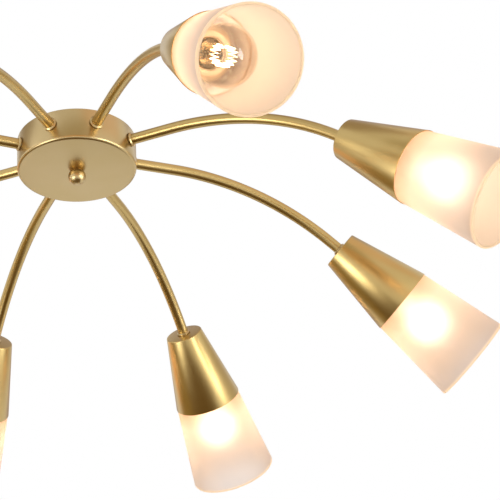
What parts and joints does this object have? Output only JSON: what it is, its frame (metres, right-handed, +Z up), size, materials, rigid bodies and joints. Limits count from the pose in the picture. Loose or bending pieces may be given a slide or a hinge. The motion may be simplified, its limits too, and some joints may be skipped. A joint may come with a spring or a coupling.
{
  "type": "multi arm chandelier",
  "caption": "Semi-flush ceiling light: round drum canopy with ball finial, curved tube arms, conical metal cups and frosted glass cone shades with screw-in globe bulbs.",
  "frame": {"origin": "centre of the ceiling bracket's back face, on the ceiling plane and on the canopy's axis", "axes": "+Z up into the ceiling; +X along the bracket's slots and close to the first arm; arms follow counter-clockwise seen from above"},
  "size_m": [0.9045, 0.9048, 0.2282],
  "materials": {
    "satin_brass": "satin, fine brushed grain, champagne tone",
    "frosted_glass": "acid-frosted, translucent white",
    "clear_glass": "clear, polished",
    "bulb_shell": "pressed, bright",
    "lampholder_plastic": "moulded, matt",
    "contact_brass": "bright",
    "lead_sheath": "smooth silicone sheath",
    "connector_plastic": "moulded",
    "zinc_steel": "zinc plated",
    "earth_screw_green": "green passivated"
  },
  "bodies": {
    "ceiling_mount": {"mounting_bracket": "zinc_steel", "center_stud": "zinc_steel", "stud_locknut": "zinc_steel", "earth_screw": "earth_screw_green"},
    "fixture": {"arm_1": "satin_brass", "arm_2": "satin_brass", "arm_3": "satin_brass", "arm_4": "satin_brass", "arm_5": "satin_brass", "arm_6": "satin_brass", "arm_7": "satin_brass", "arm_8": "satin_brass", "arm_leads": "lead_sheath", "canopy": "satin_brass", "cup_1": "satin_brass", "cup_2": "satin_brass", "cup_3": "satin_brass", "cup_4": "satin_brass", "cup_5": "satin_brass", "cup_6": "satin_brass", "cup_7": "satin_brass", "cup_8": "satin_brass", "cup_collars": "satin_brass", "cup_lock_washers": "zinc_steel", "cup_nuts": "zinc_steel", "hub_collars": "satin_brass", "hub_lock_washers": "zinc_steel", "hub_nuts": "zinc_steel", "lampholder_bodies": "lampholder_plastic", "lampholder_caps": "lampholder_plastic", "lampholder_contacts": "contact_brass", "lampholder_shells": "contact_brass", "shade_1": "frosted_glass", "shade_2": "frosted_glass", "shade_3": "frosted_glass", "shade_4": "frosted_glass", "shade_5": "frosted_glass", "shade_6": "frosted_glass", "shade_7": "frosted_glass", "shade_8": "frosted_glass", "shade_rings": "lampholder_plastic", "wire_connectors": "connector_plastic"},
    "finial": {"ball_finial": "satin_brass"},
    "bulb_1": {"bulb_glass_1": "clear_glass", "bulb_cap_1": "bulb_shell"},
    "bulb_2": {"bulb_glass_2": "clear_glass", "bulb_cap_2": "bulb_shell"},
    "bulb_3": {"bulb_glass_3": "clear_glass", "bulb_cap_3": "bulb_shell"},
    "bulb_4": {"bulb_glass_4": "clear_glass", "bulb_cap_4": "bulb_shell"},
    "bulb_5": {"bulb_glass_5": "clear_glass", "bulb_cap_5": "bulb_shell"},
    "bulb_6": {"bulb_glass_6": "clear_glass", "bulb_cap_6": "bulb_shell"},
    "bulb_7": {"bulb_glass_7": "clear_glass", "bulb_cap_7": "bulb_shell"},
    "bulb_8": {"bulb_glass_8": "clear_glass", "bulb_cap_8": "bulb_shell"}
  },
  "joints": [
    {"name": "canopy_drop", "type": "slide", "parent": "ceiling_mount", "child": "fixture", "axis": [0, 0, -1], "range_m": [0, 0.005]},
    {"name": "finial_turn", "type": "hinge", "parent": "fixture", "child": "finial", "pos_m": [0, 0, -0.0416], "axis": [0, 0, -1], "range_deg": [0, 1441]},
    {"name": "bulb_1_unscrew", "type": "slide", "parent": "fixture", "child": "bulb_1", "axis": [0.7873, -0.033, -0.6157], "range_m": [0, 0.022]},
    {"name": "bulb_2_unscrew", "type": "slide", "parent": "fixture", "child": "bulb_2", "axis": [0.5404, 0.5735, -0.6157], "range_m": [0, 0.022]},
    {"name": "bulb_3_unscrew", "type": "slide", "parent": "fixture", "child": "bulb_3", "axis": [0, 0.788, -0.6157], "range_m": [0, 0.022]},
    {"name": "bulb_4_unscrew", "type": "slide", "parent": "fixture", "child": "bulb_4", "axis": [-0.5572, 0.5572, -0.6157], "range_m": [0, 0.022]},
    {"name": "bulb_5_unscrew", "type": "slide", "parent": "fixture", "child": "bulb_5", "axis": [-0.788, 0, -0.6157], "range_m": [0, 0.022]},
    {"name": "bulb_6_unscrew", "type": "slide", "parent": "fixture", "child": "bulb_6", "axis": [-0.5572, -0.5572, -0.6157], "range_m": [0, 0.022]},
    {"name": "bulb_7_unscrew", "type": "slide", "parent": "fixture", "child": "bulb_7", "axis": [0, -0.788, -0.6157], "range_m": [0, 0.022]},
    {"name": "bulb_8_unscrew", "type": "slide", "parent": "fixture", "child": "bulb_8", "axis": [0.5572, -0.5572, -0.6157], "range_m": [0, 0.022]}
  ],
  "couplings": [
    {"joint": "finial_turn", "follows": "canopy_drop", "rad_per_m": 5026.5}
  ]
}
